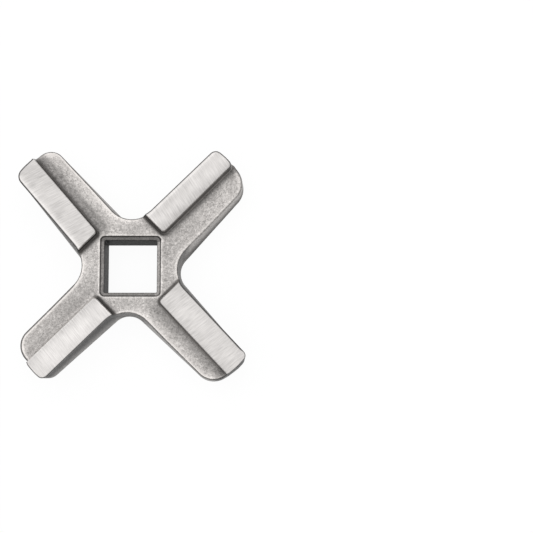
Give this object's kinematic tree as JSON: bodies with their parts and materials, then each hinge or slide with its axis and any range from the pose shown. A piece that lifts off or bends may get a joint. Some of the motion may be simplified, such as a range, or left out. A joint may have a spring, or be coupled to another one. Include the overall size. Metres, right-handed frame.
{
  "type": "meat grinder knife",
  "caption": "Cross-shaped grinder knife with a square drive hole, and on each arm a raised ground cutting land beside a hollow cast shoulder.",
  "frame": {"origin": "on the flat back, on the axis of the square drive hole, less than 0.5 mm in X and in Y from the centre of the box's bottom", "axes": "+Z out of the ground lands, away from the flat back; +X and +Y square to the walls of the drive hole, with an arm on each diagonal"},
  "size_m": [0.0542, 0.0551, 0.011],
  "materials": {
    "steel": "bare stainless steel: lands ground bright across each arm, body matt grey as cast"
  },
  "bodies": {
    "root": {"cross_knife": "steel"}
  },
  "joints": []
}
